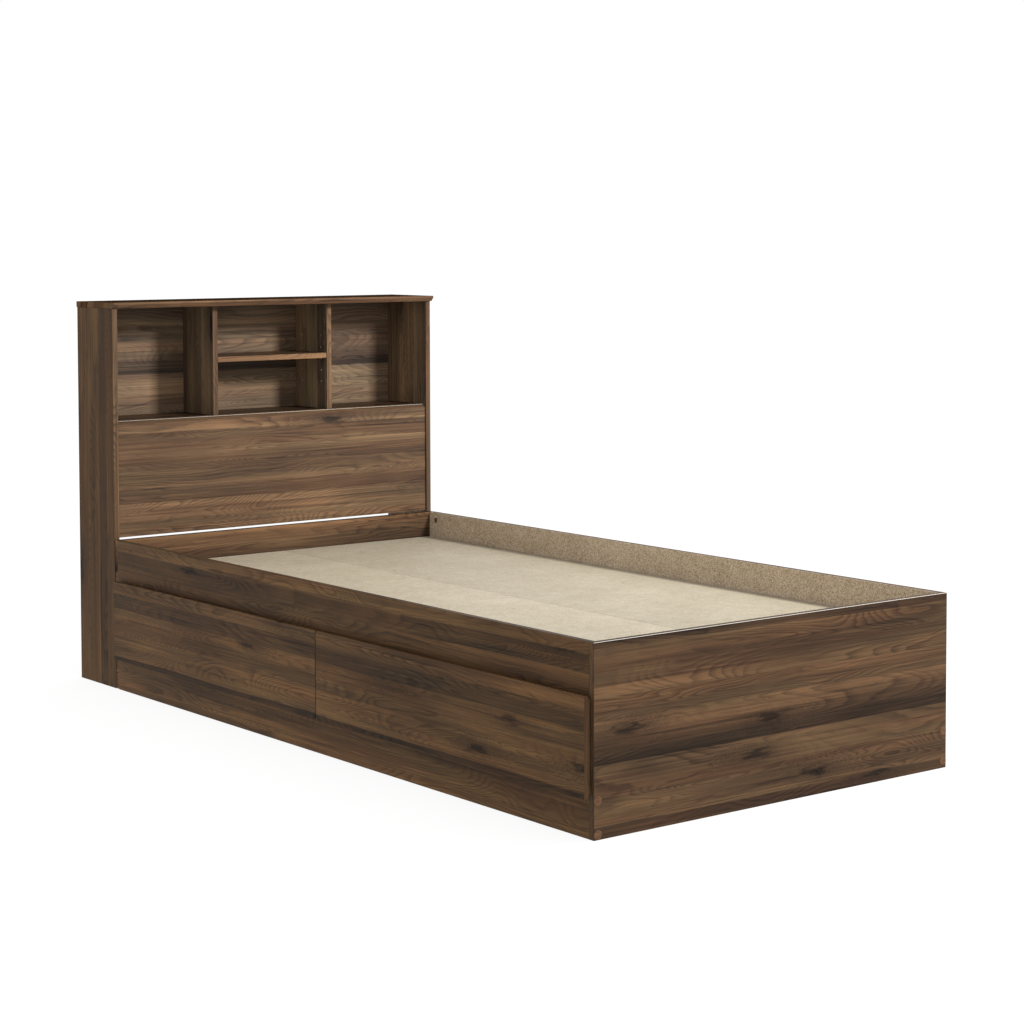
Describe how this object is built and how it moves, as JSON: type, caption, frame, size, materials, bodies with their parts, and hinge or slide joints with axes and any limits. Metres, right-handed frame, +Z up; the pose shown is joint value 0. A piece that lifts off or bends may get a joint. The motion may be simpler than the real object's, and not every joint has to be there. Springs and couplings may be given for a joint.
{
  "type": "platform bed with storage drawers",
  "caption": "Twin platform bed in dark walnut-look board, with a bookcase headboard, a sunken mattress deck and roller drawers in one long side.",
  "frame": {"origin": "On the floor, in the middle of the whole bed's outline seen from above, drawer fronts and headboard included.", "axes": "+Z up, +Y from the foot to the headboard, +X to the right for someone who looks from the foot to the headboard. The drawers open towards -X."},
  "size_m": [1.0346, 2.1448, 1.008],
  "materials": {
    "walnut_laminate": "dark walnut-look printed laminate, satin",
    "raw_particleboard": "raw particleboard, matte",
    "deck_board": "pale board, matte",
    "printed_hardboard": "grey-brown wood print on hardboard, satin",
    "pine": "planed softwood, matte",
    "beech": "fluted hardwood, matte",
    "drawer_board": "walnut-look laminate, satin",
    "hardboard": "hardboard, matte",
    "white_steel": "epoxy coated steel, semi-gloss",
    "roller_nylon": "off-white nylon",
    "zinc_steel": "zinc plated steel",
    "tan_plastic": "tan plastic cover cap"
  },
  "bodies": {
    "bed": {"headboard_end_left": "walnut_laminate", "headboard_end_right": "walnut_laminate", "headboard_top": "walnut_laminate", "headboard_front_panel": "walnut_laminate", "fixed_shelf": "walnut_laminate", "divider_left": "walnut_laminate", "divider_right": "walnut_laminate", "foot_panel": "walnut_laminate", "head_panel": "walnut_laminate", "left_top_rail": "walnut_laminate", "left_kick_rail": "walnut_laminate", "right_side_panel": "walnut_laminate", "centre_support": "raw_particleboard", "partition_middle": "raw_particleboard", "partition_head": "raw_particleboard", "cross_support_foot": "raw_particleboard", "cross_support_head": "raw_particleboard", "platform_left": "deck_board", "platform_right": "deck_board", "headboard_back_panel": "printed_hardboard", "cleat_left": "pine", "cleat_right": "pine", "dowels": "beech", "foot_case_runner_left": "white_steel", "foot_case_runner_right": "white_steel", "head_case_runner_left": "white_steel", "head_case_runner_right": "white_steel", "cam_locks": "zinc_steel", "cam_bolts": "zinc_steel", "back_nails": "zinc_steel", "wood_screws": "zinc_steel", "runner_screws": "zinc_steel", "foot_screws": "zinc_steel", "shelf_pins": "zinc_steel", "cover_caps": "tan_plastic"},
    "foot_drawer": {"foot_drawer_front": "walnut_laminate", "foot_drawer_side_right": "drawer_board", "foot_drawer_side_left": "drawer_board", "foot_drawer_back": "drawer_board", "foot_drawer_bottom": "hardboard", "foot_drawer_runner_right": "white_steel", "foot_drawer_runner_left": "white_steel", "foot_drawer_cam_locks": "zinc_steel", "foot_drawer_cam_bolts": "zinc_steel", "foot_drawer_runner_screws": "zinc_steel"},
    "foot_front_rollers": {"foot_front_rollers": "roller_nylon"},
    "foot_rear_rollers": {"foot_rear_rollers": "roller_nylon"},
    "head_drawer": {"head_drawer_front": "walnut_laminate", "head_drawer_side_right": "drawer_board", "head_drawer_side_left": "drawer_board", "head_drawer_back": "drawer_board", "head_drawer_bottom": "hardboard", "head_drawer_runner_right": "white_steel", "head_drawer_runner_left": "white_steel", "head_drawer_cam_locks": "zinc_steel", "head_drawer_cam_bolts": "zinc_steel", "head_drawer_runner_screws": "zinc_steel"},
    "head_front_rollers": {"head_front_rollers": "roller_nylon"},
    "head_rear_rollers": {"head_rear_rollers": "roller_nylon"},
    "shelf": {"adjustable_shelf": "walnut_laminate"}
  },
  "joints": [
    {"name": "foot_drawer_slide", "type": "slide", "parent": "bed", "child": "foot_drawer", "axis": [-1, 0, 0], "range_m": [0, 0.35]},
    {"name": "head_drawer_slide", "type": "slide", "parent": "bed", "child": "head_drawer", "axis": [-1, 0, 0], "range_m": [0, 0.35]},
    {"name": "foot_front_roller_spin", "type": "hinge", "parent": "bed", "child": "foot_front_rollers", "pos_m": [-0.47175, -0.5841, 0.1222], "axis": [0, -1, 0], "range_deg": [0, 2240]},
    {"name": "foot_rear_roller_spin", "type": "hinge", "parent": "foot_drawer", "child": "foot_rear_rollers", "pos_m": [-0.06325, -0.5841, 0.1222], "axis": [0, -1, 0], "range_deg": [0, 2240]},
    {"name": "head_front_roller_spin", "type": "hinge", "parent": "bed", "child": "head_front_rollers", "pos_m": [-0.47175, 0.3759, 0.1222], "axis": [0, -1, 0], "range_deg": [0, 2240]},
    {"name": "head_rear_roller_spin", "type": "hinge", "parent": "head_drawer", "child": "head_rear_rollers", "pos_m": [-0.06325, 0.3759, 0.1222], "axis": [0, -1, 0], "range_deg": [0, 2240]},
    {"name": "shelf_lift", "type": "slide", "parent": "bed", "child": "shelf", "axis": [0, 0, 1], "range_m": [0, 0.1]}
  ],
  "couplings": [
    {"joint": "foot_front_roller_spin", "follows": "foot_drawer_slide", "rad_per_m": 111.11},
    {"joint": "foot_rear_roller_spin", "follows": "foot_drawer_slide", "rad_per_m": 111.11},
    {"joint": "head_front_roller_spin", "follows": "head_drawer_slide", "rad_per_m": 111.11},
    {"joint": "head_rear_roller_spin", "follows": "head_drawer_slide", "rad_per_m": 111.11}
  ]
}
